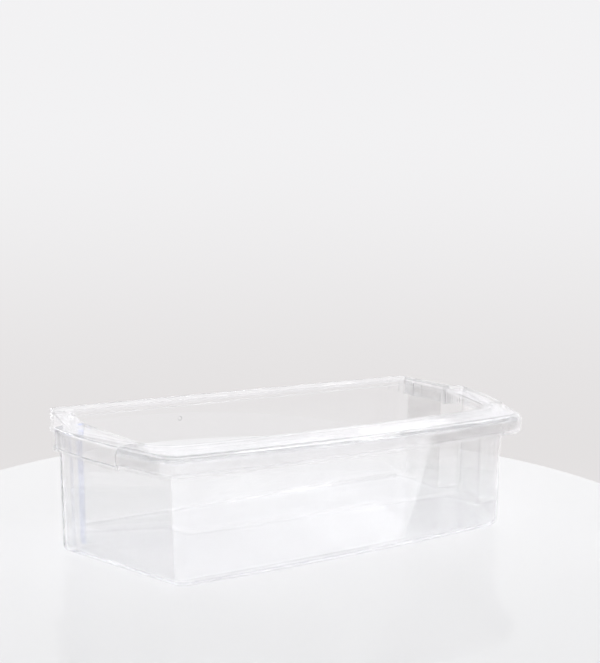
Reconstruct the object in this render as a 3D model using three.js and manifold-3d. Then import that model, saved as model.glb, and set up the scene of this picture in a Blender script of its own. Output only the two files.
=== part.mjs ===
import * as THREE from "three";
import { mergeVertices } from "three/addons/utils/BufferGeometryUtils.js";
import Module from "manifold-3d";

const wasm = await Module();
wasm.setup();

// Overall sizes in millimetres. X runs along the bin, Y to the rear, Z up.
const overallDepth = 201.5;
const overallHeight = 92.4;

// Clearance left between two mouldings that sit on each other.
const seatGap = 0.3;

// Length by which a cutting body or a joined body runs past the face it meets.
const overrun = 1;

// Walls that stand on each other: the skirt hangs outside the tub's shoulders.
const skirtWall = 1.6;
const bandWall = 2;

// Outline of the frame's skirt. A "forward" is measured from the rear edge of the bin.
// A "step" is how much narrower than the shoulders the outline is at that place.
const shoulderHalfWidth = 187.6;
const shoulderForward = 70.8;
const shoulderRadius = 6;
const rearStep = 16.8;
const rearCornerRadius = 6;
const neckStep = 10.1;
const neckRise = 4.8;
const neckRadius = 3;
const endMiddleStep = 9.6;
const endMiddleForwardShare = 0.5955;
const endBowRadius = 400;
const frontCornerStep = 40.3;
const frontCornerRadius = 19;
const frontBowRadius = 1530;
const frontBowShare = 0.8;

// Opening in the flat top of the frame, as margins from the skirt's outline.
const openingRearSideMargin = 11.8;
const openingRearForward = 17.8;
const openingRearRadius = 10;
const openingNeckMargin = 13.7;
const openingNeckRadius = 24;
const openingFrontSideMargin = 1.4;
const openingFrontMargin = 31.6;
const openingFrontRadius = 29.5;
const openingBowShare = 0.754;

// Outer face of the tub just under the frame, as margins from the skirt's outline.
const tubRearSideMargin = 9.8;
const tubRearForward = 15.6;
const tubRearRadius = 10;
const tubNeckMargin = 11.4;
const tubNeckDrop = 4;
const tubNeckRadius = 4;
const tubFrontSideMargin = 9.8;
const tubFrontMargin = 11.5;
const tubFrontRadius = 16;
const tubBowRadius = 2280;
const tubBowShare = 0.8145;

// Walls of the tub.
const tubWall = 2.4;
const tubFloor = 2.5;
const tubBottomRadius = 7;
const tubDraftDegrees = 1;

// Plate, skirt, bead and seat ring of the frame.
const plateThickness = 2.5;
const plateEdgeRadius = 1;
const skirtHeight = 16.3;
const rearLipHeight = 9.3;
const beadHeight = 3;
const beadProjection = 0.9;
const beadRounding = 0.9;
const seatRingMargin = 1.2;

// Front band.
const bandRoundRadius = 6;
const bandHeight = 14;
const bandLipWidth = 6;
const bandCreaseOffset = 6;
const bandEndReach = 51.5;
const bandEndStep = 18.6;
const bandEndSlope = 0.4;
const bandZoneStep = 67.6;
const stepWall = 2;

// Ribs between the tub and the skirt in the hanging slots.
const slotRibThickness = 1.2;
const slotRibThickThickness = 2;
const slotRibRearForward = 6;
const slotRibMiddleForward = 16;
const slotRibPitch = 3;
const slotRibMiddleCount = 3;
const slotRibFrontForward = 31;
const slotRibHeight = 12;
const slotRibMargin = 1.5;

// Fine ribs under the plate behind each shoulder wall.
const shoulderRibThickness = 0.8;
const shoulderRibPitch = 2.4;
const shoulderRibCount = 7;
const shoulderRibMargin = 2.5;
const shoulderRibHeight = 13;
const shoulderRibDepth = 10;

// Smallest corner radius left in an outline that is moved inward.
const tightestRadius = 1;

// Angle steps used to turn arcs into straight pieces.
const smallArcStepDegrees = 15;
const wideArcStepDegrees = 1;
const smallTurnDegrees = 20;

const rearY = overallDepth / 2;
const plateTopZ = overallHeight;
const plateUnderZ = plateTopZ - plateThickness;
const skirtBottomZ = plateTopZ - skirtHeight;
const bandBottomZ = plateTopZ - bandHeight;
const shelfTopZ = plateTopZ - bandWall - seatGap;
const shelfUnderZ = shelfTopZ - plateThickness;
const tubTopZ = shelfUnderZ - seatGap;
const bandOffset = bandWall + seatGap;
const frameFrontForward = overallDepth - bandOffset;
const roundCentreOffset = bandOffset - bandRoundRadius;
const roundCentreZ = plateTopZ - bandRoundRadius;
const cutTopZ = plateTopZ + overrun;
const clearTopZ = cutTopZ + overrun;
const degree = Math.PI / 180;

const rearHalfWidth = shoulderHalfWidth - rearStep;
const neckHalfWidth = shoulderHalfWidth - neckStep;
const neckForward = shoulderForward - neckRise;
const endMiddleHalfWidth = shoulderHalfWidth - endMiddleStep;
const frontCornerHalfWidth = shoulderHalfWidth - frontCornerStep;
const openingFrontHalfWidth = frontCornerHalfWidth - openingFrontSideMargin;
const tubRearHalfWidth = rearHalfWidth - tubRearSideMargin;
const tubNeckHalfWidth = neckHalfWidth - tubNeckMargin;
const tubNeckForward = neckForward + tubNeckDrop;
const tubFrontHalfWidth = frontCornerHalfWidth - tubFrontSideMargin;
const tubShoulderInset = skirtWall + seatGap;
const tubShoulderHalfWidth = shoulderHalfWidth - tubShoulderInset;
const tubShoulderForward = shoulderForward + tubShoulderInset;
const tubShoulderRadius = shoulderRadius - tubShoulderInset;
const bandEndForward = overallDepth - bandEndReach;
const bandEndHalfWidth = shoulderHalfWidth - bandEndStep;

// A corner of an outline: half width, distance forward of the rear edge, rounding radius.
function corner(halfWidth, forward, radius) {
  return { x: halfWidth, y: rearY - forward, radius };
}

// The bowed front: the rounded meeting point of two slightly sloping lines, and their ends.
// The bow takes the given share of the width between the corners.
function bowedFront(cornerHalfWidth, cornerRadius, centreForward, bowRadius, bowShare) {
  const halfTurn = Math.asin((cornerHalfWidth * bowShare) / bowRadius);
  const peakY = rearY - centreForward - bowRadius * (1 / Math.cos(halfTurn) - 1);
  const cornerY = peakY + cornerHalfWidth * Math.tan(halfTurn);
  return [
    { x: cornerHalfWidth, y: cornerY, radius: cornerRadius },
    { x: 0, y: peakY, radius: bowRadius },
  ];
}

// Full symmetric outline, counter-clockwise from above, as points with their outward normals.
// A positive inset moves every side inward and tightens the outward corners with it.
function symmetricOutline(rightCorners, inset = 0) {
  const peak = rightCorners[rightCorners.length - 1];
  const side = rightCorners.slice(0, -1);
  const mirrored = side.map((c) => ({ x: -c.x, y: c.y, radius: c.radius }));
  const polygon = insetPolygon([peak, ...side.slice().reverse(), ...mirrored], inset);
  return polygon.flatMap((vertex, index) => {
    const before = polygon[(index + polygon.length - 1) % polygon.length];
    const after = polygon[(index + 1) % polygon.length];
    return roundedCorner(before, vertex, after);
  });
}

function insetPolygon(polygon, inset) {
  return polygon.map((vertex, index) => {
    const before = polygon[(index + polygon.length - 1) % polygon.length];
    const after = polygon[(index + 1) % polygon.length];
    const inAngle = Math.atan2(vertex.y - before.y, vertex.x - before.x);
    const outAngle = Math.atan2(after.y - vertex.y, after.x - vertex.x);
    const sumX = -Math.sin(inAngle) - Math.sin(outAngle);
    const sumY = Math.cos(inAngle) + Math.cos(outAngle);
    const reach = inset / (1 + Math.cos(outAngle - inAngle));
    const outward = Math.sin(outAngle - inAngle) > 0;
    return {
      x: vertex.x + sumX * reach,
      y: vertex.y + sumY * reach,
      radius: outward ? Math.max(vertex.radius - inset, tightestRadius) : vertex.radius + inset,
    };
  });
}

function roundedCorner(before, vertex, after) {
  const inAngle = Math.atan2(vertex.y - before.y, vertex.x - before.x);
  const outAngle = Math.atan2(after.y - vertex.y, after.x - vertex.x);
  const turn = Math.atan2(Math.sin(outAngle - inAngle), Math.cos(outAngle - inAngle));
  const reach = vertex.radius * Math.tan(Math.abs(turn) / 2);
  const startX = vertex.x - reach * Math.cos(inAngle);
  const startY = vertex.y - reach * Math.sin(inAngle);
  const hand = Math.sign(turn);
  const centreX = startX - hand * vertex.radius * Math.sin(inAngle);
  const centreY = startY + hand * vertex.radius * Math.cos(inAngle);
  const wide = Math.abs(turn) < smallTurnDegrees * degree;
  const step = (wide ? wideArcStepDegrees : smallArcStepDegrees) * degree;
  const count = Math.max(1, Math.ceil(Math.abs(turn) / step));
  const points = [];
  for (let i = 0; i <= count; i += 1) {
    const angle = inAngle + (turn * i) / count;
    const nx = Math.sin(angle);
    const ny = -Math.cos(angle);
    points.push({
      x: centreX + hand * vertex.radius * nx,
      y: centreY + hand * vertex.radius * ny,
      nx,
      ny,
    });
  }
  return points;
}

// The point beside an outline point, moved outward by the given offset, at the given height.
function beside(point, offset, z) {
  return [point.x + point.nx * offset, point.y + point.ny * offset, z];
}

// Closed skin over rings of equal point count. Open ends get a flat cap.
function skin(rings, closed) {
  const count = rings[0].length;
  const positions = rings.flat(2);
  const index = [];
  const pairs = closed ? rings.length : rings.length - 1;
  for (let r = 0; r < pairs; r += 1) {
    const low = r * count;
    const high = ((r + 1) % rings.length) * count;
    for (let i = 0; i < count; i += 1) {
      const next = (i + 1) % count;
      index.push(low + i, low + next, high + next);
      index.push(low + i, high + next, high + i);
    }
  }
  if (!closed) {
    const last = (rings.length - 1) * count;
    capTriangles(rings[0]).forEach(([a, b, c]) => index.push(a, c, b));
    capTriangles(rings[rings.length - 1]).forEach(([a, b, c]) => index.push(last + a, last + b, last + c));
  }
  const geometry = new THREE.BufferGeometry();
  geometry.setAttribute("position", new THREE.Float32BufferAttribute(positions, 3));
  geometry.setIndex(index);
  return geometry;
}

// Triangles over a flat ring, turning the same way as the ring itself.
function capTriangles(ring) {
  const points = ring.map((p) => new THREE.Vector3(...p));
  const centre = points.reduce((sum, p) => sum.add(p), new THREE.Vector3()).divideScalar(points.length);
  const normal = new THREE.Vector3();
  points.forEach((p, i) => {
    const q = points[(i + 1) % points.length];
    normal.add(p.clone().sub(centre).cross(q.clone().sub(centre)));
  });
  normal.normalize();
  const along = points[1].clone().sub(points[0]).normalize();
  const across = normal.clone().cross(along);
  const flat = points.map((p) => new THREE.Vector2(p.dot(along), p.dot(across)));
  return THREE.ShapeUtils.triangulateShape(flat, []);
}

// A section of [offset, height] points, counter-clockwise, carried along outline points.
function sweep(path, section, closed) {
  const turned = section.slice().reverse();
  const rings = path.map((point) => turned.map(([offset, z]) => beside(point, offset, z)));
  return skin(rings, closed);
}

// Prism between two heights over an outline, with an optional hole of another outline.
function prism(outline, bottomZ, topZ, hole) {
  const shape = new THREE.Shape(outline.map((p) => new THREE.Vector2(p.x, p.y)));
  if (hole) {
    shape.holes.push(new THREE.Path(hole.map((p) => new THREE.Vector2(p.x, p.y))));
  }
  const geometry = new THREE.ExtrudeGeometry(shape, { depth: topZ - bottomZ, bevelEnabled: false });
  geometry.translate(0, 0, bottomZ);
  return geometry;
}

function block(minX, maxX, minY, maxY, minZ, maxZ) {
  const geometry = new THREE.BoxGeometry(maxX - minX, maxY - minY, maxZ - minZ);
  geometry.translate((minX + maxX) / 2, (minY + maxY) / 2, (minZ + maxZ) / 2);
  return geometry;
}

function toSolid(geometry) {
  geometry.deleteAttribute("normal");
  geometry.deleteAttribute("uv");
  const merged = mergeVertices(geometry);
  return new wasm.Manifold(
    new wasm.Mesh({
      numProp: 3,
      vertProperties: new Float32Array(merged.attributes.position.array),
      triVerts: new Uint32Array(merged.index.array),
    }),
  );
}

function toMesh(solid, name, material) {
  const result = solid.getMesh();
  const geometry = new THREE.BufferGeometry();
  geometry.setAttribute("position", new THREE.Float32BufferAttribute(result.vertProperties, 3));
  geometry.setIndex(Array.from(result.triVerts));
  const mesh = new THREE.Mesh(geometry, material);
  mesh.name = name;
  return mesh;
}

// Points of a quarter arc in a section, from one angle to another.
function sectionArc(centreOffset, centreZ, radius, fromDegrees, toDegrees) {
  const count = Math.ceil(Math.abs(toDegrees - fromDegrees) / smallArcStepDegrees);
  return Array.from({ length: count + 1 }, (_, i) => {
    const angle = (fromDegrees + ((toDegrees - fromDegrees) * i) / count) * degree;
    return [centreOffset + radius * Math.cos(angle), centreZ + radius * Math.sin(angle)];
  });
}

const rightAngle = 90;

const frameCorners = [
  corner(rearHalfWidth, 0, rearCornerRadius),
  corner(neckHalfWidth, neckForward, neckRadius),
  corner(shoulderHalfWidth, shoulderForward, shoulderRadius),
  corner(endMiddleHalfWidth, overallDepth * endMiddleForwardShare, endBowRadius),
  ...bowedFront(frontCornerHalfWidth, frontCornerRadius, frameFrontForward, frontBowRadius, frontBowShare),
];

const openingCorners = [
  corner(rearHalfWidth - openingRearSideMargin, openingRearForward, openingRearRadius),
  corner(neckHalfWidth - openingNeckMargin, neckForward, openingNeckRadius),
  ...bowedFront(
    openingFrontHalfWidth,
    openingFrontRadius,
    frameFrontForward - openingFrontMargin,
    frontBowRadius,
    openingBowShare,
  ),
];

const tubCorners = [
  corner(tubRearHalfWidth, tubRearForward, tubRearRadius),
  corner(tubNeckHalfWidth, tubNeckForward, tubNeckRadius),
  corner(tubShoulderHalfWidth, tubShoulderForward, tubShoulderRadius),
  ...bowedFront(
    tubFrontHalfWidth,
    tubFrontRadius,
    frameFrontForward - tubFrontMargin,
    tubBowRadius,
    tubBowShare,
  ),
];

const frameOutline = symmetricOutline(frameCorners);

// How far the drafted tub wall stands inside its top outline at a height.
function draftInset(z) {
  return (tubTopZ - z) * Math.tan(tubDraftDegrees * degree);
}

function tubRing(inset, z) {
  return symmetricOutline(tubCorners, inset).map((point) => [point.x, point.y, z]);
}

// Rings of a rounded bottom edge and the wall above it, for a skin inside the tub outline.
function bowlRings(wallInset, floorZ, radius, topZ) {
  const arc = sectionArc(0, floorZ + radius, radius, -rightAngle, 0);
  const rings = arc.map(([reach, z]) => tubRing(wallInset + draftInset(z) + radius - reach, z));
  rings.push(tubRing(wallInset + draftInset(topZ), topZ));
  return rings;
}

function buildTub() {
  const outside = toSolid(skin(bowlRings(0, 0, tubBottomRadius, tubTopZ), false));
  const cavity = toSolid(
    skin(bowlRings(tubWall, tubFloor, tubBottomRadius - tubWall, tubTopZ + overrun), false),
  );
  return outside.subtract(cavity);
}

// Space in front of the cuts across both ends, where the band covers the frame.
function frontZone(shift, bottomZ, topZ) {
  const outerHalfWidth = shoulderHalfWidth + bandOffset + overrun;
  const innerHalfWidth = shoulderHalfWidth - bandZoneStep;
  const forwardAt = (halfWidth) => bandEndForward - shift + (halfWidth - bandEndHalfWidth) * bandEndSlope;
  const right = [
    { x: outerHalfWidth, y: rearY - overallDepth - overrun },
    { x: outerHalfWidth, y: rearY - forwardAt(outerHalfWidth) },
    { x: innerHalfWidth, y: rearY - forwardAt(innerHalfWidth) },
  ];
  const left = right.slice().reverse().map((p) => ({ x: -p.x, y: p.y }));
  return toSolid(prism([...right, ...left], bottomZ, topZ));
}

// Section of the band: rounded edge, face and the lip hooked under the frame.
function bandSection() {
  return [
    [bandOffset, bandBottomZ],
    ...sectionArc(roundCentreOffset, roundCentreZ, bandRoundRadius, 0, rightAngle),
    [roundCentreOffset - bandRoundRadius, plateTopZ],
    [roundCentreOffset - bandRoundRadius, plateTopZ - bandWall],
    ...sectionArc(roundCentreOffset, roundCentreZ, bandRoundRadius - bandWall, rightAngle, 0),
    [seatGap, bandBottomZ + bandWall],
    [bandOffset - bandLipWidth, bandBottomZ + bandWall],
    [bandOffset - bandLipWidth, bandBottomZ],
  ];
}

// Section of the frame under the band: skirt, rounded edge and the start of the shelf.
function frontFlangeSection() {
  return [
    [0, bandBottomZ + bandOffset],
    ...sectionArc(roundCentreOffset, roundCentreZ, bandRoundRadius - bandOffset, 0, rightAngle),
    [roundCentreOffset - bandRoundRadius, shelfTopZ],
    [roundCentreOffset - bandRoundRadius, shelfUnderZ],
    [-skirtWall, shelfUnderZ],
    [-skirtWall, bandBottomZ + bandOffset],
  ];
}

// Section of the skirt on the ends and the rear, with the plate's rounded edge and the bead.
function skirtSection() {
  const beadTopZ = skirtBottomZ + beadHeight;
  return [
    [-skirtWall, skirtBottomZ],
    [beadProjection - beadRounding, skirtBottomZ],
    [beadProjection, skirtBottomZ + beadRounding],
    [beadProjection, beadTopZ - beadRounding],
    [0, beadTopZ],
    ...sectionArc(-plateEdgeRadius, plateTopZ - plateEdgeRadius, plateEdgeRadius, 0, rightAngle),
    [-skirtWall, plateTopZ],
  ];
}

function mirrorX(geometry) {
  const copy = geometry.clone();
  const position = copy.attributes.position;
  for (let i = 0; i < position.count; i += 1) {
    position.setX(i, -position.getX(i));
  }
  const flipped = [];
  const source = copy.index.array;
  for (let i = 0; i < source.length; i += 3) {
    flipped.push(source[i], source[i + 2], source[i + 1]);
  }
  copy.setIndex(flipped);
  return copy;
}

function slotRib(forward, thickness) {
  const centreY = rearY - forward;
  return block(
    tubRearHalfWidth + slotRibMargin,
    neckHalfWidth,
    centreY - thickness / 2,
    centreY + thickness / 2,
    plateUnderZ - slotRibHeight,
    plateUnderZ + overrun,
  );
}

function shoulderRib(index) {
  const centreX = tubNeckHalfWidth + shoulderRibMargin + index * shoulderRibPitch;
  const frontY = rearY - tubShoulderForward;
  return block(
    centreX - shoulderRibThickness / 2,
    centreX + shoulderRibThickness / 2,
    frontY,
    frontY + shoulderRibDepth,
    plateUnderZ - shoulderRibHeight,
    plateUnderZ + overrun,
  );
}

function allRibs() {
  const right = [
    slotRib(slotRibRearForward, slotRibThickness),
    slotRib(slotRibFrontForward, slotRibThickness),
  ];
  for (let i = 0; i < slotRibMiddleCount; i += 1) {
    const thickness = i === 0 ? slotRibThickThickness : slotRibThickness;
    right.push(slotRib(slotRibMiddleForward + i * slotRibPitch, thickness));
  }
  for (let i = 0; i < shoulderRibCount; i += 1) {
    right.push(shoulderRib(i));
  }
  return right.flatMap((rib) => [toSolid(rib), toSolid(mirrorX(rib))]);
}

function buildFrame() {
  const insideEdge = symmetricOutline(frameCorners, plateEdgeRadius);
  const opening = symmetricOutline(openingCorners);
  const crease = symmetricOutline(openingCorners, seatGap - bandCreaseOffset);
  const stepInside = symmetricOutline(openingCorners, stepWall - bandCreaseOffset);
  const skirt = toSolid(sweep(frameOutline, skirtSection(), true));
  const plate = toSolid(prism(insideEdge, plateUnderZ, plateTopZ, opening));
  const seatRing = toSolid(
    prism(
      symmetricOutline(tubCorners, -seatRingMargin),
      shelfUnderZ,
      plateUnderZ + overrun,
      symmetricOutline(tubCorners, tubWall + seatRingMargin),
    ),
  );
  const openingSpace = toSolid(prism(opening, 0, cutTopZ));
  const rearGap = toSolid(
    block(
      -neckHalfWidth,
      neckHalfWidth,
      rearY - rearCornerRadius,
      rearY + beadProjection + overrun,
      skirtBottomZ - overrun,
      plateTopZ - rearLipHeight,
    ),
  );
  const insideFrame = toSolid(prism(insideEdge, 0, plateTopZ));
  const tubRoom = toSolid(prism(symmetricOutline(tubCorners, -seatGap), 0, tubTopZ + seatGap));
  const ribs = allRibs().map((rib) => rib.intersect(insideFrame).subtract(tubRoom));
  const base = skirt.add(plate).add(seatRing.intersect(insideFrame).subtract(openingSpace));
  const whole = ribs.reduce((sum, rib) => sum.add(rib), base.subtract(rearGap));

  const aboveShelf = frontZone(seatGap, shelfTopZ, cutTopZ);
  const insideCrease = toSolid(prism(crease, 0, clearTopZ));
  const skirtRoom = frontZone(seatGap, 0, cutTopZ).subtract(
    toSolid(prism(symmetricOutline(frameCorners, skirtWall + overrun), -overrun, clearTopZ)),
  );
  const shelf = toSolid(prism(insideEdge, shelfUnderZ, shelfTopZ, stepInside));
  const step = toSolid(prism(crease, shelfUnderZ, plateTopZ - overrun, stepInside));
  const flange = toSolid(sweep(frameOutline, frontFlangeSection(), true));
  const front = flange
    .add(shelf.intersect(toSolid(prism(symmetricOutline(frameCorners, bandRoundRadius), 0, plateTopZ))))
    .add(step)
    .intersect(frontZone(stepWall, 0, plateTopZ));
  return whole.subtract(aboveShelf.subtract(insideCrease)).subtract(skirtRoom).add(front);
}

function buildBand() {
  const edge = toSolid(sweep(frameOutline, bandSection(), true));
  const strip = toSolid(
    prism(
      symmetricOutline(frameCorners, bandRoundRadius),
      plateTopZ - bandWall,
      plateTopZ,
      symmetricOutline(openingCorners, -bandCreaseOffset),
    ),
  );
  return edge.add(strip).intersect(frontZone(0, 0, cutTopZ));
}

function clearPlastic(color, opacity) {
  return new THREE.MeshStandardMaterial({
    color,
    roughness: 0.08,
    metalness: 0,
    transparent: true,
    opacity,
  });
}

const bin = new THREE.Group();
bin.name = "fridge_bin";
bin.add(toMesh(buildTub(), "tub", clearPlastic(0xe9eaf2, 0.35)));
bin.add(toMesh(buildFrame(), "rim_frame", clearPlastic(0xdfe1ee, 0.45)));
bin.add(toMesh(buildBand(), "front_band", clearPlastic(0xd9dcec, 0.5)));

export default bin;
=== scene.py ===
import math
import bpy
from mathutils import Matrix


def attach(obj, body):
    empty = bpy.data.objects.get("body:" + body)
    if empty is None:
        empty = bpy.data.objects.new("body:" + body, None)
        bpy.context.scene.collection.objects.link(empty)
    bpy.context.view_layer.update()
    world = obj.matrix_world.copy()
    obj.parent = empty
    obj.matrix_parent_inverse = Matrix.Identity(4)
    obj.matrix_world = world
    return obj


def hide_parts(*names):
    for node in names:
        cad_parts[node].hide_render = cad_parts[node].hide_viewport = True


bl_info = {
    "name": "Clear Fridge Bin",
    "version": (1, 0, 0),
    "blender": (4, 5, 0),
    "location": "3D View > Sidebar > Fridge Bin",
    "description": "Models a clear refrigerator door bin: tub, rim frame and front band",
    "category": "Add Mesh",
}

import bmesh
import bpy
from bpy.props import FloatProperty, FloatVectorProperty, PointerProperty
from mathutils import Matrix, Vector

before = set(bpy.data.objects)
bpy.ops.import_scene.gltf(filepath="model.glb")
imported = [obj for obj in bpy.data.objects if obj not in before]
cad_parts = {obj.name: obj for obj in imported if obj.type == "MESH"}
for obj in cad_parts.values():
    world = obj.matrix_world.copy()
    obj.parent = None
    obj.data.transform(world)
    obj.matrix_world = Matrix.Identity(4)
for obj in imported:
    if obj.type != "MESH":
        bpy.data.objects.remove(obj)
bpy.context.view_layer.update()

# Lengths are given in millimetres, and this turns them into metres.
MM = 0.001

# Each outline lists the corners of its left half from the rear to the front:
# half width, distance forward of the rear edge, rounding radius.
# Its last entry is the bowed front: corner half width, corner radius,
# distance forward at the centre line, bow radius, half width of the bow.
SKIRT_OUTLINE = (
    (170.8, 0, 6),
    (177.5, 66, 3),
    (187.6, 70.8, 6),
    (178, 120, 400),
    (147.3, 19, 199.2, 1530, 118),
)
OPENING_OUTLINE = (
    (159, 17.8, 10),
    (163.8, 66, 24),
    (145.9, 29.5, 167.6, 1530, 110),
)
TUB_OUTLINE = (
    (161, 15.6, 10),
    (166.1, 70, 4),
    (185.7, 72.7, 4.1),
    (137.5, 16, 187.7, 2280, 112),
)

# An inset never makes a rounding tighter than this.
TIGHTEST_RADIUS = 1

# Ribs under the plate. Each slot rib has its distance forward of the rear edge and its thickness,
# and starts and ends are half widths.
SLOT_RIBS = ((6, 1.2), (16, 2), (19, 1.2), (22, 1.2), (31, 1.2))
SLOT_RIB_START = 162.5
SLOT_RIB_END = 177.5
SLOT_RIB_HEIGHT = 12
SHOULDER_RIBS = 7
SHOULDER_RIB_START = 168.6
SHOULDER_RIB_PITCH = 2.4
SHOULDER_RIB_THICK = 0.8
SHOULDER_RIB_HEIGHT = 13
SHOULDER_RIB_DEPTH = 10

# Thickness of the step that leads from the plate down to the edge under the band.
STEP_WALL = 2

# Rounding of the band's lower outer edge.
BAND_FOOT_RADIUS = 0.3

# Gate mark on the rear wall: across, back and up from the bin's centre, radius, length.
GATE_MARK = (-66.5, 85, 76.7, 2.2, 1.2)
GATE_TAPER = 0.7
GATE_SIDES = 24

# Straight pieces of each rounded edge in a section.
ROUND_STEPS = 8
EDGE_STEPS = 5
BEAD_STEPS = 4
LIP_STEPS = 3
FOOT_STEPS = 2

# A corner that turns by fewer degrees than this is a shallow bow.
BOW_TURN = 20

# Every corner has at least this many straight pieces.
LEAST_STEPS = 2

# Edges that turn by more degrees than this are shaded sharp, on the tub and on the rim.
SHARP_TURN = 30
RIM_SHARP_TURN = 12

# Length by which bodies run into each other, and room for cuts that pass the whole bin.
OVERLAP = 1 * MM
SPARE = 250 * MM

# Levels and cuts of bodies that are joined differ by this, so that no two faces coincide.
HAIR = 0.02 * MM

# Points nearer to each other than this are merged, after a mirror and in a finished piece.
SEAM_MERGE = 0.01 * MM
LAST_MERGE = 0.002 * MM

# A point this near to a level or to a slanted cut lies in it.
LEVEL_REACH = 0.001 * MM
CUT_REACH = 0.01 * MM

# An edge that rises by a smaller share of its length than this lies flat.
FLAT_RISE = 0.5

# Weight of one direction over the next one, where places are put in order.
PLACE_STEP = 1e4

# Faint unevenness of the polished faces: scale and detail of its pattern, strength and height.
HAZE_SCALE = 35
HAZE_DETAIL = 3
RIPPLE_STRENGTH = 0.02
RIPPLE_HEIGHT = 0.4

# Least and greatest roughness, as shares of the one that a user sets.
LEAST_ROUGH = 0.6
MOST_ROUGH = 1.6

# Faces turned further away than this, from 0 face on to 1 edge on, bend less light.
# What is edge on bends this share of what it would bend otherwise.
TURNED_AWAY = 0.5
EDGE_ON_BEND = 0.3

# Shares of the corner's radius up to which the painted blue glow at the waist is full, and past
# which it ends.
WAIST_FULL = 0.3
WAIST_NONE = 0.8

# Light turns round many times inside clear walls before it gets out.
CLEAR_BOUNCES = 24

# Table top: centre of its upper face, just under the bin, then thickness, sides and gloss.
TABLE_PLACE = (-17.2, -6.7, -0.02)
TABLE_THICKNESS = 18
TABLE_SIDES = 256
TABLE_ROUGHNESS = 0.03
TABLE_REFRACTION = 1.3

# Lamps: name, place and the point that each faces in metres, width and height, power.
LAMPS = (
    ("Overhead Light", (0.7, 0.12, 1.2), (0, 0, 0.05), (1.6, 0.12), 2.4),
    ("Left Light", (-1.6, -0.3, 0.9), (0, 0, 0.04), (0.4, 0.4), 1.6),
    ("Rear Light", (-0.8, 1.29, 0.79), (-0.18, 0, 0.09), (0.2, 0.2), 1.4),
)

# Camera: place in metres, direction, height and roll in degrees, lens and sensor in millimetres.
CAMERA_PLACE = (-0.3676, -0.63975, 0.244)
CAMERA_AZIMUTH = -29.84
CAMERA_ELEVATION = 6.89
CAMERA_ROLL = 0.47
CAMERA_LENS = 57.33
SENSOR_WIDTH = 36


def length(name, description, millimetres):
    """A length that a user may change, shown in the scene's unit."""
    return FloatProperty(
        name=name,
        description=description,
        default=millimetres * MM,
        min=0,
        unit="LENGTH",
        precision=4,
    )


def tint(name, description, red_green_blue):
    """A linear colour that a user may change."""
    return FloatVectorProperty(
        name=name,
        description=description,
        default=red_green_blue,
        size=3,
        min=0,
        max=1,
        subtype="COLOR",
    )


def share(name, description, part):
    """A part of one that a user may change."""
    return FloatProperty(
        name=name,
        description=description,
        default=part,
        min=0,
        max=1,
        subtype="FACTOR",
    )


def amount(name, description, value):
    """A number from zero upward that a user may change."""
    return FloatProperty(name=name, description=description, default=value, min=0)


def angle(name, description, degrees, least=0):
    """An angle that a user may change, given in degrees."""
    return FloatProperty(
        name=name,
        description=description,
        default=math.radians(degrees),
        min=math.radians(least),
        subtype="ANGLE",
    )


def view_rise(name, description, sine):
    """A height of view as a sine, from -1 straight down to 1 straight up."""
    return FloatProperty(name=name, description=description, default=sine, min=-1, max=1)


class BinSizes(bpy.types.PropertyGroup):
    """Sizes that all three mouldings share."""

    depth: length("Depth", "Rear edge to the middle of the front", 201.5)
    height: length("Height", "Floor to the top of the rim", 92.4)
    gap: length("Seat Gap", "Clearance between two mouldings", 0.3)
    arc_step: angle("Arc Step", "Turn of one piece of a rounded corner", 7.5, 2)
    bow_step: angle("Bow Step", "Turn of one piece of a long shallow bow", 0.7, 0.2)


class TubSizes(bpy.types.PropertyGroup):
    """Walls of the tub."""

    wall: length("Wall", "Thickness of the walls", 2.4)
    floor: length("Floor", "Thickness of the floor", 2.5)
    bottom_radius: length("Bottom Radius", "Rounding between walls and floor", 7)
    lip_radius: length("Lip Radius", "Rounding of the top edge", 0.4)
    draft: angle("Draft", "Lean of the walls", 1)


class FrameSizes(bpy.types.PropertyGroup):
    """Plate, skirt, bead and ribs of the rim frame."""

    plate: length("Plate", "Thickness of the flat top", 2.5)
    edge_radius: length("Edge Radius", "Rounding of the plate's outer edge", 1)
    wall: length("Skirt Wall", "Thickness of the skirt", 1.6)
    skirt: length("Skirt Height", "Height of the skirt on the ends", 16.3)
    rear_lip: length("Rear Lip", "Height of the rear edge", 9.3)
    bead_height: length("Bead Height", "Height of the bead under the skirt", 3)
    bead_reach: length("Bead Reach", "How far the bead stands out", 0.9)
    seat_margin: length("Seat Margin", "Width of the seat ring beside the tub wall", 0.8)


class BandSizes(bpy.types.PropertyGroup):
    """Trim band over the front of the frame."""

    wall: length("Wall", "Thickness of the band", 2)
    round_radius: length("Round Radius", "Rounding of the upper edge", 6)
    height: length("Height", "Height of the band's face", 14)
    lip: length("Lip", "Width of the lip hooked under the frame", 6)
    crease: length("Crease Offset", "Crease to the edge of the opening", 6)
    end_forward: length("End Forward", "Rear edge to the cut end", 150)
    end_half_width: length("End Half Width", "Half width where the cut end is measured", 169)
    end_slope: amount("End Slope", "Slant of the cut end, forward for each length outward", 0.4)


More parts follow.
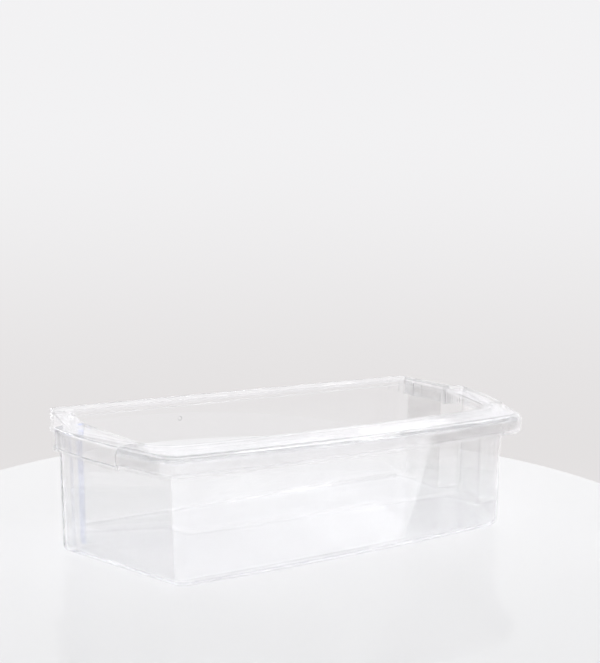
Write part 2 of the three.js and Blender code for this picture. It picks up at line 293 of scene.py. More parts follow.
class PlasticLook(bpy.types.PropertyGroup):
    """Colour and gloss of the clear plastic."""

    tub_tint: tint("Tub Tint", "Colour that the tub gives to light", (0.998, 0.998, 0.999))
    frame_tint: tint("Frame Tint", "Colour that the frame gives to light", (0.998, 0.998, 0.999))
    band_tint: tint("Band Tint", "Colour that the band gives to light", (0.997, 0.997, 0.999))
    edge_tint: tint("Edge Tint", "Colour of light that the faces bend", (0.998, 0.998, 0.999))
    # Painted blue glow along the waist, standing in for light that pipes through the wall and
    # comes out edge on.
    painted_waist_glow: tint("Painted Waist Glow", "Colour of light that leaves at the waist", (0.55, 0.62, 0.92))
    depth_tint: tint("Depth Tint", "Colour of light that ran far inside a wall", (0.22, 0.32, 1.0))
    depth_density: amount("Depth Density", "How fast the depth tint builds up, per metre", 0.8)
    bend: share("Bend", "Share of light that the tub's walls bend and mirror", 0.6)
    rim_bend: share("Rim Bend", "The same share for the frame and the band", 0.8)
    roughness: share("Roughness", "Roughness of the polished faces", 0.01)
    refraction: FloatProperty(
        name="Refraction",
        description="Refractive index",
        default=1.5,
        min=1,
        max=2,
    )


class StageLook(bpy.types.PropertyGroup):
    """Table, backdrop and studio light."""

    table_radius: length("Table Radius", "Radius of the round table top", 322.7)
    table_colour: tint("Table Colour", "Colour of the table top", (0.86, 0.86, 0.87))
    backdrop_low: tint("Backdrop Low", "Lower colour of the backdrop", (0.775, 0.755, 0.755))
    backdrop_high: tint("Backdrop High", "Upper colour of the backdrop", (0.89, 0.885, 0.895))
    room: tint("Room Colour", "Colour above and below the backdrop", (0.92, 0.92, 0.93))
    floor_rise: view_rise("Floor Rise", "Where the room's floor ends", -0.36)
    low_rise: view_rise("Low Rise", "Where the backdrop's lower colour is", -0.24)
    high_rise: view_rise("High Rise", "Where the backdrop's upper colour is", 0.1)
    room_rise: view_rise("Room Rise", "Where the room starts again overhead", 0.6)
    mirror_gain: amount("Mirror Gain", "Extra brightness of the mirrored backdrop", 0.38)
    fill: amount("Fill", "Strength of the light from all round", 0.82)


GROUPS = {
    "bin_sizes": BinSizes,
    "tub_sizes": TubSizes,
    "frame_sizes": FrameSizes,
    "band_sizes": BandSizes,
    "plastic_look": PlasticLook,
    "stage_look": StageLook,
}


def sizes(name):
    """The scene's own copy of a property group."""
    return getattr(bpy.context.scene, name)


def inward(course):
    """Unit vector to the left of a course, which is the inside of an outline."""
    return Vector((-course.y, course.x)).normalized()


def corner_bends(outline, inset):
    """Start, centre and turn of each rounded corner of the left half, moved inward."""
    rear = sizes("bin_sizes").depth / 2
    corners = [
        (Vector((-half_width * MM, rear - forward * MM)), radius * MM)
        for half_width, forward, radius in outline[:-1]
    ]
    half_width, radius, forward, bow, bow_half_width = (number * MM for number in outline[-1])
    lean = math.asin(bow_half_width / bow)
    peak = rear - forward - bow * (1 / math.cos(lean) - 1)
    corners.append((Vector((-half_width, peak + half_width * math.tan(lean))), radius))
    corners.append((Vector((0, peak)), bow))
    across = Vector((-1, 1))
    points = [corners[0][0] * across] + [place for place, _ in corners] + [corners[-2][0] * across]
    moved = []
    for before, here, after in zip(points, points[1:], points[2:]):
        come = inward(here - before)
        leave = inward(after - here)
        moved.append(here + (come + leave) * inset / (1 + come.dot(leave)))
    tightest = TIGHTEST_RADIUS * MM
    bends = []
    line = [moved[0] * across] + moved + [moved[-2] * across]
    for (_, radius), before, here, after in zip(corners, line, line[1:], line[2:]):
        come = (here - before).normalized()
        leave = (after - here).normalized()
        turn = math.atan2(come.cross(leave), come.dot(leave))
        radius = max(radius - inset, tightest) if turn > 0 else radius + inset
        start = here - come * radius * math.tan(abs(turn) / 2)
        centre = start + inward(come) * math.copysign(radius, turn)
        bends.append((start, centre, turn))
    start, centre, turn = bends[-1]
    bends[-1] = (start, centre, turn / 2)
    return bends


def arc_steps(turn):
    """Number of straight pieces for one rounded corner."""
    shared = sizes("bin_sizes")
    step = shared.arc_step if abs(turn) > math.radians(BOW_TURN) else shared.bow_step
    return max(LEAST_STEPS, math.ceil(abs(turn) / step))


def mirrored(bm, parts):
    """Adds the right half to the left one and joins the two."""
    bmesh.ops.mirror(
        bm,
        geom=parts,
        matrix=Matrix.Identity(4),
        merge_dist=SEAM_MERGE,
        axis="X",
    )


def drawn_loop(bm, outline, inset, height):
    """One closed outline: a point pulled and spun round the left half, then mirrored."""
    older = set(bm.verts)
    bends = corner_bends(outline, inset)
    tip = bmesh.ops.create_vert(bm, co=(0, bends[0][0].y, height))["vert"][0]
    for start, centre, turn in bends:
        pulled = bmesh.ops.extrude_vert_indiv(bm, verts=[tip])["verts"]
        tip = pulled[0]
        bmesh.ops.translate(bm, verts=pulled, vec=start.to_3d() - tip.co + Vector((0, 0, height)))
        spun = bmesh.ops.spin(
            bm,
            geom=[tip],
            cent=(centre.x, centre.y, height),
            axis=(0, 0, 1),
            angle=turn,
            steps=arc_steps(turn),
        )
        tip = next(part for part in spun["geom_last"] if isinstance(part, bmesh.types.BMVert))
    half = [vert for vert in bm.verts if vert not in older]
    edges = [edge for edge in bm.edges if edge.verts[0] not in older]
    mirrored(bm, half + edges)
    return [edge for edge in bm.edges if older.isdisjoint(edge.verts)]


def lofted(bm, outline, section, closed):
    """Skin through one outline for each point of a section of (offset, height) in metres."""
    loops = [drawn_loop(bm, outline, -offset, height) for offset, height in section]
    pairs = list(zip(loops, loops[1:]))
    if closed:
        pairs.append((loops[-1], loops[0]))
    for first, second in pairs:
        bmesh.ops.bridge_loops(bm, edges=first + second)
    return loops


def edges_between(parts):
    """The edges among some parts whose two ends are among them as well."""
    ends = {part for part in parts if isinstance(part, bmesh.types.BMVert)}
    edges = [part for part in parts if isinstance(part, bmesh.types.BMEdge)]
    return [edge for edge in edges if ends.issuperset(edge.verts)]


def swept(bm, outline, section, closed):
    """A section of (offset, height) pulled and spun round the left half, then mirrored."""
    bends = corner_bends(outline, 0)
    ahead = Vector((0, bends[0][0].y))
    tips = [
        bmesh.ops.create_vert(bm, co=(0, ahead.y + offset, height))["vert"][0]
        for offset, height in section
    ]
    pairs = list(zip(tips, tips[1:])) + ([(tips[-1], tips[0])] if closed else [])
    edges = [bmesh.ops.contextual_create(bm, geom=pair)["edges"][0] for pair in pairs]
    for start, centre, turn in bends:
        pulled = bmesh.ops.extrude_edge_only(bm, edges=edges)["geom"]
        tips = [part for part in pulled if isinstance(part, bmesh.types.BMVert)]
        bmesh.ops.translate(bm, verts=tips, vec=(start - ahead).to_3d())
        spun = bmesh.ops.spin(
            bm,
            geom=edges_between(pulled) + tips,
            cent=centre.to_3d(),
            axis=(0, 0, 1),
            angle=turn,
            steps=arc_steps(turn),
        )
        edges = edges_between(spun["geom_last"])
        ahead = centre + (start - centre) @ Matrix.Rotation(-turn, 2)
    mirrored(bm, bm.verts[:] + bm.edges[:] + bm.faces[:])
    return bm


def slab(outline, inset, bottom, top, hole=None):
    """Flat body over an outline between two heights, with an (outline, inset) as its hole."""
    bm = bmesh.new()
    lower = drawn_loop(bm, outline, inset, bottom)
    upper = drawn_loop(bm, outline, inset, top)
    bmesh.ops.bridge_loops(bm, edges=lower + upper)
    if hole:
        hole_lower = drawn_loop(bm, *hole, bottom)
        hole_upper = drawn_loop(bm, *hole, top)
        bmesh.ops.bridge_loops(bm, edges=hole_lower + hole_upper)
        for edges in (lower + hole_lower, upper + hole_upper):
            bmesh.ops.triangle_fill(bm, edges=edges, use_beauty=True, normal=(0, 0, 1))
    else:
        for edges in (lower, upper):
            bmesh.ops.contextual_create(bm, geom=edges)
    return bm


def box(bm, low, high):
    """Adds a plain block between two corners."""
    made = bmesh.ops.create_cube(bm, size=1)["verts"]
    low, high = Vector(low), Vector(high)
    bmesh.ops.scale(bm, verts=made, vec=high - low)
    bmesh.ops.translate(bm, verts=made, vec=(low + high) / 2)
    return bm


def arc(offset, height, radius, first, last, steps=ROUND_STEPS):
    """Points of a rounded edge in a section, between two angles in degrees."""
    turns = [math.radians(first + (last - first) * i / steps) for i in range(steps + 1)]
    return [(offset + radius * math.cos(turn), height + radius * math.sin(turn)) for turn in turns]


def rank(place):
    """One number for a place, with far steps between its three directions."""
    return (place.x * PLACE_STEP + place.y) * PLACE_STEP + place.z


def in_order(bm):
    """Sorts points, edges and faces by place, so that each run gives the same mesh."""
    bm.verts.sort(key=lambda vert: rank(vert.co))
    bm.edges.sort(key=lambda edge: rank(edge.verts[0].co + edge.verts[1].co))
    bm.faces.sort(key=lambda face: rank(face.calc_center_median()))


def shaded(bm, name, sharp_turn):
    """Turns a bmesh into an object at the origin with smooth faces and sharp edges."""
    mesh = bpy.data.meshes.new(name)
    bm.to_mesh(mesh)
    bm.free()
    mesh.shade_smooth()
    mesh.set_sharp_from_angle(angle=math.radians(sharp_turn))
    made = bpy.data.objects.new(name, mesh)
    bpy.context.scene.collection.objects.link(made)
    return made


def finished(bm, name, sharp_turn=SHARP_TURN):
    """Turns a closed bmesh into a finished piece."""
    bmesh.ops.remove_doubles(bm, verts=bm.verts[:], dist=LAST_MERGE)
    bmesh.ops.recalc_face_normals(bm, faces=bm.faces[:])
    if any(not edge.is_manifold for edge in bm.edges):
        raise RuntimeError(name + " isn't closed")
    in_order(bm)
    piece = shaded(bm, name, sharp_turn)
    level = piece.modifiers.new("Level Faces", "WEIGHTED_NORMAL")
    level.keep_sharp = True
    return piece


def carved(base, operation, other):
    """The base body joined with, cut by or limited to another body."""
    blanks = []
    for bm in (base, other):
        in_order(bm)
        bmesh.ops.recalc_face_normals(bm, faces=bm.faces[:])
        mesh = bpy.data.meshes.new("Blank")
        bm.to_mesh(mesh)
        bm.free()
        blank = bpy.data.objects.new("Blank", mesh)
        bpy.context.scene.collection.objects.link(blank)
        blanks.append(blank)
    modifier = blanks[0].modifiers.new("Carve", "BOOLEAN")
    modifier.operation = operation
    modifier.solver = "EXACT"
    modifier.object = blanks[1]
    result = bmesh.new()
    result.from_object(blanks[0], bpy.context.evaluated_depsgraph_get())
    for blank in blanks:
        mesh = blank.data
        bpy.data.objects.remove(blank)
        bpy.data.meshes.remove(mesh)
    return result


def cut_ends(bm, back_shift=0):
    """Cuts off all that lies behind the two slanted cuts, moved back by a shift."""
    shared = sizes("bin_sizes")
    band = sizes("band_sizes")
    level = shared.depth / 2 - band.end_forward + back_shift
    for side in (-1, 1):
        bmesh.ops.bisect_plane(
            bm,
            geom=bm.verts[:] + bm.edges[:] + bm.faces[:],
            dist=LEVEL_REACH,
            plane_co=(side * band.end_half_width, level, 0),
            plane_no=(side * band.end_slope, 1, 0),
            clear_outer=True,
        )


def close_holes(bm):
    """Fills each open hole with one face."""
    rims = [edge for edge in bm.edges if edge.is_boundary]
    bmesh.ops.holes_fill(bm, edges=rims, sides=0)


def front_part(bm, back_shift=0):
    """The part of a body in front of the slanted cuts, closed again."""
    cut_ends(bm, back_shift)
    close_holes(bm)
    return bm


def front_zone(back_shift, bottom, top):
    """Space in front of the slanted cuts as a closed body."""
    room = box(bmesh.new(), (-SPARE, -SPARE, bottom), (SPARE, SPARE, top))
    return front_part(room, back_shift)


def waist_closeness(nodes, links, coordinates):
    """One on the upright left edge where the tub steps outward, zero a little away from it."""
    half_width, forward, radius = TUB_OUTLINE[1]
    split = nodes.new("ShaderNodeSeparateXYZ")
    links.new(coordinates.outputs["Object"], split.inputs["Vector"])
    place = nodes.new("ShaderNodeCombineXYZ")
    links.new(split.outputs["X"], place.inputs["X"])
    links.new(split.outputs["Y"], place.inputs["Y"])
    rear = sizes("bin_sizes").depth / 2
    distance = nodes.new("ShaderNodeVectorMath")
    distance.operation = "DISTANCE"
    distance.inputs[1].default_value = (-half_width * MM, rear - forward * MM, 0)
    links.new(place.outputs["Vector"], distance.inputs[0])
    near = nodes.new("ShaderNodeMapRange")
    near.interpolation_type = "SMOOTHSTEP"
    near.inputs["From Min"].default_value = radius * WAIST_FULL * MM
    near.inputs["From Max"].default_value = radius * WAIST_NONE * MM
    near.inputs["To Min"].default_value = 1
    near.inputs["To Max"].default_value = 0
    links.new(distance.outputs["Value"], near.inputs["Value"])
    return near.outputs["Result"]


def painted_blue_glow_at_waist(nodes, links, waist, colour):
    """A colour that turns blue along the waist: a painted glow that stands in for light coming out
    of the wall edge on.
    """
    blend = nodes.new("ShaderNodeMix")
    blend.data_type = "RGBA"
    blend.inputs["A"].default_value = (*colour, 1)
    blend.inputs["B"].default_value = (*sizes("plastic_look").painted_waist_glow, 1)
    links.new(waist, blend.inputs["Factor"])
    return blend.outputs["Result"]


def polished(nodes, links, coordinates, shader):
    """Uneven polish and a faint ripple of the faces."""
    roughness = sizes("plastic_look").roughness
    haze = nodes.new("ShaderNodeTexNoise")
    haze.inputs["Scale"].default_value = HAZE_SCALE
    haze.inputs["Detail"].default_value = HAZE_DETAIL
    links.new(coordinates.outputs["Object"], haze.inputs["Vector"])
    polish = nodes.new("ShaderNodeMapRange")
    polish.inputs["To Min"].default_value = roughness * LEAST_ROUGH
    polish.inputs["To Max"].default_value = roughness * MOST_ROUGH
    links.new(haze.outputs["Fac"], polish.inputs["Value"])
    links.new(polish.outputs["Result"], shader.inputs["Roughness"])
    ripple = nodes.new("ShaderNodeBump")
    ripple.inputs["Strength"].default_value = RIPPLE_STRENGTH
    ripple.inputs["Distance"].default_value = RIPPLE_HEIGHT * MM
    links.new(haze.outputs["Fac"], ripple.inputs["Height"])
    links.new(ripple.outputs["Normal"], shader.inputs["Normal"])


def bent_share(nodes, links, bend):
    """Share of light that a face bends, less where it is seen edge on."""
    edge_on = nodes.new("ShaderNodeLayerWeight")
    fade = nodes.new("ShaderNodeMapRange")
    fade.inputs["From Min"].default_value = TURNED_AWAY
    fade.inputs["To Min"].default_value = bend
    fade.inputs["To Max"].default_value = bend * EDGE_ON_BEND
    links.new(edge_on.outputs["Facing"], fade.inputs["Value"])
    return fade.outputs["Result"]


def chosen(nodes, links, factor, first, second):
    """The first of two shaders where the factor is zero, the second where it is one."""
    blend = nodes.new("ShaderNodeMixShader")
    links.new(factor, blend.inputs["Fac"])
    links.new(first, blend.inputs[1])
    links.new(second, blend.inputs[2])
    return blend.outputs["Shader"]


def clear_plastic(name, colour, bend):
    """Clear moulding: thin walls hardly bend what is behind them, long ways turn blue, and a
    painted blue glow lies along the waist.
    """
    look = sizes("plastic_look")
    material = bpy.data.materials.new(name)
    material.use_nodes = True
    nodes = material.node_tree.nodes
    links = material.node_tree.links
    output = nodes["Material Output"]
    coordinates = nodes.new("ShaderNodeTexCoord")
    waist = waist_closeness(nodes, links, coordinates)
    shader = nodes["Principled BSDF"]
    shader.inputs["Transmission Weight"].default_value = 1
    shader.inputs["IOR"].default_value = look.refraction
    # Painted blue glow along the waist, in the colour of the bent light and of the passed light.
    links.new(painted_blue_glow_at_waist(nodes, links, waist, look.edge_tint), shader.inputs["Base Color"])
    polished(nodes, links, coordinates, shader)
    plain = nodes.new("ShaderNodeBsdfTransparent")
    links.new(painted_blue_glow_at_waist(nodes, links, waist, colour), plain.inputs["Color"])
    share_bent = bent_share(nodes, links, bend)
    seen = chosen(nodes, links, share_bent, plain.outputs["BSDF"], shader.outputs["BSDF"])
    passed = nodes.new("ShaderNodeBsdfTransparent")
    passed.inputs["Color"].default_value = (*colour, 1)
    shadow = nodes.new("ShaderNodeLightPath").outputs["Is Shadow Ray"]
    surface = chosen(nodes, links, shadow, seen, passed.outputs["BSDF"])
    links.new(surface, output.inputs["Surface"])
    depth = nodes.new("ShaderNodeVolumeAbsorption")
    depth.inputs["Color"].default_value = (*look.depth_tint, 1)
    depth.inputs["Density"].default_value = look.depth_density
    links.new(depth.outputs["Volume"], output.inputs["Volume"])
    return material


def dressed(piece, node, colour, bend):
    """Gives a piece its plastic and lets it stand for its node in the frame."""
    piece.data.materials.append(clear_plastic(node + " plastic", colour, bend))
    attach(piece, "root")
    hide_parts(node)


def tub_top():
    """Height of the tub's upper edge under the frame."""
    shared = sizes("bin_sizes")
    return shared.height - sizes("band_sizes").wall - sizes("frame_sizes").plate - shared.gap * 2


def tub_section(wall_inset, floor, radius, top):
    """Rounded bottom edge and leaning wall, as insets from the tub's top outline."""
    lean = math.tan(sizes("tub_sizes").draft)
    points = arc(-radius, floor + radius, radius, -90, 0)
    points.append((0, top))
    return [
        (offset - wall_inset - (tub_top() - height) * lean, height)
        for offset, height in points
    ]


def gate_mark():
    """Small round stub on the outside of the rear wall, where the plastic was let in."""
    across, back, up, radius, reach = (number * MM for number in GATE_MARK)
    turn = Matrix.Rotation(math.radians(-90), 4, "X")
    bm = bmesh.new()
    bmesh.ops.create_cone(
        bm,
        cap_ends=True,
        segments=GATE_SIDES,
        radius1=radius,
        radius2=radius * GATE_TAPER,
        depth=reach,
        matrix=Matrix.Translation((across, back, up)) @ turn,
    )
    return bm


class FRIDGEBIN_OT_tub(bpy.types.Operator):
    """Model the clear tub with its leaning walls and rounded floor"""

    bl_idname = "fridgebin.tub"
    bl_label = "Tub"

    def execute(self, context):
        size = sizes("tub_sizes")
        lip = size.lip_radius
        level = tub_top() - lip
        outside = tub_section(0, 0, size.bottom_radius, level)
        inside = tub_section(size.wall, size.floor, size.bottom_radius - size.wall, level)
        outer_round = arc(-lip, level, lip, 0, 90, LIP_STEPS)[1:]
        inner_round = arc(lip - size.wall, level, lip, 90, 180, LIP_STEPS)[:-1]
        section = [*outside, *outer_round, *inner_round, *reversed(inside)]
        bm = bmesh.new()
        loops = lofted(bm, TUB_OUTLINE, section, closed=False)
        for loop in (loops[0], loops[-1]):
            bmesh.ops.contextual_create(bm, geom=loop)
        bm = carved(bm, "UNION", gate_mark())
        look = sizes("plastic_look")
        dressed(finished(bm, "Tub"), "tub", look.tub_tint, look.bend)
        return {"FINISHED"}


def skirt_body(shared, size):
    """Skirt with its bead and the plate's rounded outer edge."""
    top = shared.height
    bottom = top - size.skirt
    reach = size.bead_reach
    bead_top = bottom + size.bead_height
    bead = [
        (-size.wall, bottom),
        *arc(0, bottom + reach, reach, -90, 0, BEAD_STEPS),
        *arc(0, bead_top - reach, reach, 0, 90, BEAD_STEPS),
    ]
    radius = size.edge_radius
    edge = arc(-radius, top - radius, radius, 0, 90, EDGE_STEPS)
    bm = bmesh.new()
    lofted(bm, SKIRT_OUTLINE, [*bead, *edge, (-size.wall, top)], closed=True)
    return bm


def shelf_level(shared, band):
    """Height of the lowered edge that the band lies on."""
    return shared.height - band.wall - shared.gap


def front_flange(shared, size, band):
    """Lowered edge of the frame that the band covers."""
    cover = band.wall + shared.gap
    round_centre = cover - band.round_radius
    round_height = shared.height - band.round_radius
    inner_edge = round_centre - band.round_radius
    shelf_top = shared.height - cover
    shelf_under = shelf_top - size.plate + HAIR
    foot = shared.height - band.height + cover
    section = [
        (0, foot),
        *arc(round_centre, round_height, band.round_radius - cover, 0, 90, EDGE_STEPS),
        (inner_edge, shelf_top),
        (inner_edge, shelf_under),
        (-size.wall, shelf_under),
        (-size.wall, foot),
    ]
    return swept(bmesh.new(), SKIRT_OUTLINE, section, closed=True)


def plate_room(shared, size):
    """Space inside the skirt, up to just under the top."""
    return slab(SKIRT_OUTLINE, size.edge_radius, 0, shared.height - OVERLAP / 2)


def seat_ring(shared, size, band):
    """Ring under the plate that rests on the tub's wall, and leaves the opening free."""
    foot = shelf_level(shared, band) - size.plate
    head = shared.height - size.plate + OVERLAP / 2
    hole = (TUB_OUTLINE, sizes("tub_sizes").wall + size.seat_margin)
    ring = slab(TUB_OUTLINE, -size.seat_margin, foot, head, hole)
    ring = carved(ring, "INTERSECT", plate_room(shared, size))
    return carved(ring, "DIFFERENCE", slab(OPENING_OUTLINE, 0, 0, shared.height + OVERLAP))


def rear_notch(shared, size):
    """Space that makes the skirt lower along the rear edge."""
    rear = shared.depth / 2
    reach = SLOT_RIB_END * MM
    low = (-reach, rear - SKIRT_OUTLINE[0][2] * MM, 0)
    return box(bmesh.new(), low, (reach, rear + SPARE, shared.height - size.rear_lip))


def rib_body(shared, size):
    """All ribs: across the hanging slots and fine ones in the shoulders."""
    rear = shared.depth / 2
    under = shared.height - size.plate
    shoulder = rear - TUB_OUTLINE[2][1] * MM
    half = SHOULDER_RIB_THICK * MM / 2
    ribs = bmesh.new()
    for side in (-1, 1):
        left, right = sorted((side * SLOT_RIB_START * MM, side * SLOT_RIB_END * MM))
        for forward, thick in SLOT_RIBS:
            place = rear - forward * MM
            low = (left, place - thick * MM / 2, under - SLOT_RIB_HEIGHT * MM)
            box(ribs, low, (right, place + thick * MM / 2, under + OVERLAP))
        for index in range(SHOULDER_RIBS):
            middle = side * (SHOULDER_RIB_START + index * SHOULDER_RIB_PITCH) * MM
            low = (middle - half, shoulder, under - SHOULDER_RIB_HEIGHT * MM)
            box(ribs, low, (middle + half, shoulder + SHOULDER_RIB_DEPTH * MM, under + OVERLAP))
    return ribs


def fitted_ribs(shared, size):
    """The ribs, kept inside the skirt and clear of the tub."""
    ribs = carved(rib_body(shared, size), "INTERSECT", plate_room(shared, size))
    tub_room = slab(TUB_OUTLINE, -shared.gap, 0, tub_top() + shared.gap)
    return carved(ribs, "DIFFERENCE", tub_room)


def room_over_shelf(shared, band):
    """Space over the lowered edge, outside the crease, in which the band lies."""
    zone = front_zone(shared.gap, shelf_level(shared, band), shared.height + OVERLAP)
    inside = slab(OPENING_OUTLINE, shared.gap - band.crease, 0, shared.height + OVERLAP * 2)
    return carved(zone, "DIFFERENCE", inside)


def room_for_flange(shared, size):
    """Space of the skirt in front of the cuts, where the flange takes its place."""
    zone = front_zone(shared.gap, 0, shared.height + OVERLAP)
    inside = slab(SKIRT_OUTLINE, size.wall + OVERLAP, -OVERLAP, shared.height + OVERLAP * 2)
    return carved(zone, "DIFFERENCE", inside)


def lowered_front(shared, size, band):
    """Lowered edge under the band: flange, shelf and the step up to the plate."""
    wall = STEP_WALL * MM
    inset = wall - band.crease
    shelf_top = shelf_level(shared, band)
    shelf_under = shelf_top - size.plate + HAIR
    shelf = slab(
        SKIRT_OUTLINE,
        band.round_radius,
        shelf_under + HAIR,
        shelf_top - HAIR,
        (OPENING_OUTLINE, inset),
    )
    step = slab(
        OPENING_OUTLINE,
        shared.gap - band.crease,
        shelf_under + HAIR * 2,
        shared.height - OVERLAP,
        (OPENING_OUTLINE, inset + HAIR),
    )
    front = front_part(front_flange(shared, size, band), wall)
    front = carved(front, "UNION", front_part(shelf, wall + HAIR))
    return carved(front, "UNION", front_part(step, wall + HAIR * 2))


class FRIDGEBIN_OT_rim_frame(bpy.types.Operator):
    """Model the rim frame with its skirt, bead, seat ring and ribs"""

    bl_idname = "fridgebin.rim_frame"
    bl_label = "Rim Frame"

    def execute(self, context):
        shared = sizes("bin_sizes")
        size = sizes("frame_sizes")
        band = sizes("band_sizes")
        top = shared.height
        opening = (OPENING_OUTLINE, 0)
        plate = slab(SKIRT_OUTLINE, size.edge_radius, top - size.plate, top, opening)
        body = carved(skirt_body(shared, size), "UNION", plate)
        body = carved(body, "UNION", seat_ring(shared, size, band))
        body = carved(body, "DIFFERENCE", rear_notch(shared, size))
        body = carved(body, "UNION", fitted_ribs(shared, size))
        body = carved(body, "DIFFERENCE", room_over_shelf(shared, band))
        body = carved(body, "DIFFERENCE", room_for_flange(shared, size))
        body = carved(body, "UNION", lowered_front(shared, size, band))
        look = sizes("plastic_look")
        piece = finished(body, "Rim_Frame", RIM_SHARP_TURN)
        dressed(piece, "rim_frame", look.frame_tint, look.rim_bend)
        return {"FINISHED"}


def band_section(shared, band):
    """Section of the band: down its inside, round the hook and up over its face."""
    outer = band.wall + shared.gap
    round_centre = outer - band.round_radius
    round_height = shared.height - band.round_radius
    inner_edge = round_centre - band.round_radius
    bottom = shared.height - band.height
    hook = outer - band.lip
    foot = BAND_FOOT_RADIUS * MM
    return [
        (inner_edge, shared.height - band.wall),
        *arc(round_centre, round_height, band.round_radius - band.wall, 90, 0),
        (shared.gap, bottom + band.wall),
        (hook, bottom + band.wall),
        (hook, bottom),
        *arc(outer - foot, bottom + foot, foot, -90, 0, FOOT_STEPS),
        *arc(round_centre, round_height, band.round_radius, 0, 90),
        (inner_edge, shared.height),
    ]


def lies_at(edge, levels):
    """True for an edge whose two ends each lie at one of some heights."""
    return all(
        min(abs(vert.co.z - height) for height in levels) < LEVEL_REACH for vert in edge.verts
    )


def close_top(bm, height):
    """Fills the flat strip between the rounded edge and the crease at a height."""
    level = [edge for edge in bm.edges if len(edge.link_faces) < 2 and lies_at(edge, (height,))]
    level_verts = dict.fromkeys(vert for edge in level for vert in edge.verts)
    ends = [vert for vert in level_verts if sum(edge in level for edge in vert.link_edges) == 1]
    for side in (-1, 1):
        pair = [vert for vert in ends if vert.co.x * side > 0]
        level += bmesh.ops.contextual_create(bm, geom=pair)["edges"]
    bmesh.ops.triangle_fill(bm, edges=level, use_beauty=True, normal=(0, 0, 1))


def on_cut(edge):
    """True for an edge that lies in one of the two cut ends."""
    shared = sizes("bin_sizes")
    band = sizes("band_sizes")
    cut = Vector((band.end_half_width, shared.depth / 2 - band.end_forward, 0))
    facing = Vector((band.end_slope, 1, 0)).normalized()
    places = [Vector((abs(vert.co.x), vert.co.y, 0)) for vert in edge.verts]
    return all(abs((place - cut).dot(facing)) < CUT_REACH for place in places)


def on_crease(edge, levels):
    """True for an edge of the crease, where the strip ends inside the bin."""
    direction = (edge.verts[1].co - edge.verts[0].co).normalized()
    return lies_at(edge, levels) and abs(direction.z) < FLAT_RISE and not on_cut(edge)


class FRIDGEBIN_OT_front_band(bpy.types.Operator):
    """Model the trim band that hooks over the front of the frame"""

    bl_idname = "fridgebin.front_band"
    bl_label = "Front Band"

    def execute(self, context):
        shared = sizes("bin_sizes")
        band = sizes("band_sizes")
        levels = (shared.height - band.wall, shared.height)
        bm = swept(bmesh.new(), SKIRT_OUTLINE, band_section(shared, band), closed=False)
        for height in levels:
            drawn_loop(bm, OPENING_OUTLINE, -band.crease, height)
        cut_ends(bm)
        for height in levels:
            close_top(bm, height)
        crease = [edge for edge in bm.edges if edge.is_boundary and on_crease(edge, levels)]
        bmesh.ops.bridge_loops(bm, edges=crease)
        close_holes(bm)
        look = sizes("plastic_look")
        piece = finished(bm, "Front_Band", RIM_SHARP_TURN)
        dressed(piece, "front_band", look.band_tint, look.rim_bend)
        return {"FINISHED"}


def table_lacquer(look):
    """Smooth pale lacquer that mirrors the bin faintly."""
    material = bpy.data.materials.new("Table Lacquer")
    material.use_nodes = True
    shader = material.node_tree.nodes["Principled BSDF"]
    shader.inputs["Base Color"].default_value = (*look.table_colour, 1)
    shader.inputs["Roughness"].default_value = TABLE_ROUGHNESS
    shader.inputs["IOR"].default_value = TABLE_REFRACTION
    return material


def table_top(look):
    """Round glossy table top whose upper face lies just under the bin."""
    bm = bmesh.new()
    bmesh.ops.create_circle(bm, cap_ends=True, radius=look.table_radius, segments=TABLE_SIDES)
    lower = bmesh.ops.extrude_face_region(bm, geom=bm.faces[:])["geom"]
    verts = [part for part in lower if isinstance(part, bmesh.types.BMVert)]
    bmesh.ops.translate(bm, verts=verts, vec=(0, 0, -TABLE_THICKNESS * MM))
    place = [number * MM for number in TABLE_PLACE]
    bmesh.ops.translate(bm, verts=bm.verts[:], vec=place)
    bmesh.ops.recalc_face_normals(bm, faces=bm.faces[:])
    table = shaded(bm, "Table Top", SHARP_TURN)
    table.data.materials.append(table_lacquer(look))
    return table


def soft_light(name, place, target, size, power):
    """Rectangular lamp of a width and height that faces a point."""
    lamp = bpy.data.lights.new(name, "AREA")
    lamp.shape = "RECTANGLE"
    lamp.size, lamp.size_y = size
    lamp.energy = power
    light = bpy.data.objects.new(name, lamp)
    bpy.context.scene.collection.objects.link(light)
    facing = Vector(target) - Vector(place)
    light.location = place
    light.rotation_euler = facing.to_track_quat("-Z", "Y").to_euler()
    return light


def flags_joined(nodes, links, operation, first, second):
    """One value from two flags that are zero or one."""
    joined = nodes.new("ShaderNodeMath")
    joined.operation = operation
    joined.use_clamp = True
    links.new(first, joined.inputs[0])
    links.new(second, joined.inputs[1])
    return joined.outputs["Value"]


def backdrop_shades(nodes, links, look):
    """Colour of the backdrop at each height of view, from the room's floor to overhead."""
    coordinates = nodes.new("ShaderNodeTexCoord")
    split = nodes.new("ShaderNodeSeparateXYZ")
    links.new(coordinates.outputs["Generated"], split.inputs["Vector"])
    height = nodes.new("ShaderNodeMapRange")
    height.inputs["From Min"].default_value = -1
    links.new(split.outputs["Z"], height.inputs["Value"])
    ramp = nodes.new("ShaderNodeValToRGB")
    stops = ramp.color_ramp.elements
    ramp.color_ramp.interpolation = "EASE"
    shades = (look.room, look.backdrop_low, look.backdrop_high, look.room)
    rises = (look.floor_rise, look.low_rise, look.high_rise, look.room_rise)
    while len(stops) < len(shades):
        stops.new(1)
    for stop, shade, rise in zip(stops, shades, rises):
        stop.position = (rise + 1) / 2
        stop.color = (*shade, 1)
    links.new(height.outputs["Result"], ramp.inputs["Fac"])
    return ramp.outputs["Color"]


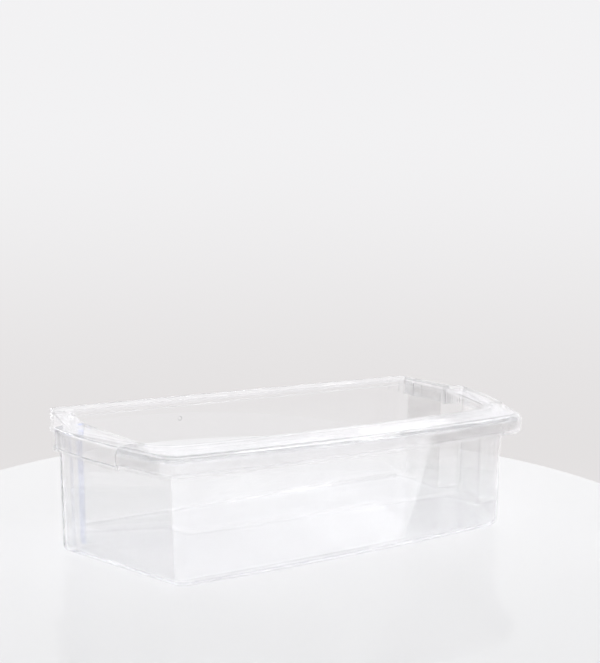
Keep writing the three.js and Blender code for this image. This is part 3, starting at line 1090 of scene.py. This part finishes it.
def pale_world(look):
    """Backdrop for what is seen, mirrored or bent, and even white light for all else."""
    world = bpy.data.worlds.new("Pale Backdrop")
    bpy.context.scene.world = world
    world.use_nodes = True
    nodes = world.node_tree.nodes
    links = world.node_tree.links
    nodes.clear()
    rays = nodes.new("ShaderNodeLightPath").outputs
    glossy = rays["Is Glossy Ray"]
    bent = rays["Is Transmission Ray"]
    backdrop = nodes.new("ShaderNodeBackground")
    links.new(backdrop_shades(nodes, links, look), backdrop.inputs["Color"])
    gain = nodes.new("ShaderNodeMath")
    gain.operation = "MULTIPLY_ADD"
    gain.inputs[1].default_value = look.mirror_gain
    gain.inputs[2].default_value = 1
    links.new(flags_joined(nodes, links, "SUBTRACT", glossy, bent), gain.inputs[0])
    links.new(gain.outputs["Value"], backdrop.inputs["Strength"])
    fill = nodes.new("ShaderNodeBackground")
    fill.inputs["Color"].default_value = (1, 1, 1, 1)
    fill.inputs["Strength"].default_value = look.fill
    seen = flags_joined(nodes, links, "MAXIMUM", rays["Is Camera Ray"], glossy)
    shown = flags_joined(nodes, links, "MAXIMUM", seen, bent)
    light = chosen(nodes, links, shown, fill.outputs["Background"], backdrop.outputs["Background"])
    output = nodes.new("ShaderNodeOutputWorld")
    links.new(light, output.inputs["Surface"])


def place_camera():
    """Camera where the photograph was taken from."""
    camera_data = bpy.data.cameras.new("Camera")
    camera_data.sensor_fit = "HORIZONTAL"
    camera_data.sensor_width = SENSOR_WIDTH
    camera_data.lens = CAMERA_LENS
    camera = bpy.data.objects.new("Camera", camera_data)
    bpy.context.scene.collection.objects.link(camera)
    azimuth = math.radians(CAMERA_AZIMUTH)
    elevation = math.radians(CAMERA_ELEVATION)
    level = math.cos(elevation)
    back = Vector((math.sin(azimuth) * level, -math.cos(azimuth) * level, math.sin(elevation)))
    right = (-back).cross(Vector((0, 0, 1))).normalized()
    upright = Matrix((right, back.cross(right), back)).transposed()
    turned = upright @ Matrix.Rotation(math.radians(CAMERA_ROLL), 3, "Z")
    camera.matrix_world = Matrix.Translation(CAMERA_PLACE) @ turned.to_4x4()
    bpy.context.scene.camera = camera


class FRIDGEBIN_OT_stage(bpy.types.Operator):
    """Set out the round table, the pale backdrop, the soft lights and the camera"""

    bl_idname = "fridgebin.stage"
    bl_label = "Stage"

    def execute(self, context):
        look = sizes("stage_look")
        table = table_top(look)
        lights = [soft_light(*lamp) for lamp in LAMPS]
        pale_world(look)
        place_camera()
        scene = context.scene
        scene.view_settings.view_transform = "Standard"
        scene.cycles.max_bounces = CLEAR_BOUNCES
        scene.cycles.glossy_bounces = CLEAR_BOUNCES
        scene.cycles.transmission_bounces = CLEAR_BOUNCES
        scene.cycles.transparent_max_bounces = CLEAR_BOUNCES
        return {"FINISHED"}


class FRIDGEBIN_PT_parts(bpy.types.Panel):
    """Lists the bin's pieces and its stage"""

    bl_idname = "FRIDGEBIN_PT_parts"
    bl_label = "Fridge Bin"
    bl_space_type = "VIEW_3D"
    bl_region_type = "UI"
    bl_category = "Fridge Bin"

    def draw(self, context):
        for name in GROUPS:
            fields = self.layout.box()
            group = sizes(name)
            fields.label(text=name.replace("_", " ").title())
            for key in group.bl_rna.properties.keys():
                if key not in {"rna_type", "name"}:
                    fields.prop(group, key)
        for piece in PIECES:
            self.layout.operator(piece.bl_idname)


PIECES = (
    FRIDGEBIN_OT_tub,
    FRIDGEBIN_OT_rim_frame,
    FRIDGEBIN_OT_front_band,
    FRIDGEBIN_OT_stage,
)
CLASSES = (*GROUPS.values(), *PIECES, FRIDGEBIN_PT_parts)


def register():
    """Makes the classes and the sizes of the scene known."""
    for kind in CLASSES:
        bpy.utils.register_class(kind)
    for name, group in GROUPS.items():
        setattr(bpy.types.Scene, name, PointerProperty(type=group))


def unregister():
    """Takes both away again."""
    for name in GROUPS:
        delattr(bpy.types.Scene, name)
    for kind in reversed(CLASSES):
        bpy.utils.unregister_class(kind)


def main():
    """Models the pieces and sets out the stage."""
    register()
    bpy.ops.fridgebin.tub()
    bpy.ops.fridgebin.rim_frame()
    bpy.ops.fridgebin.front_band()
    bpy.ops.fridgebin.stage()


if __name__ == "__main__":
    main()
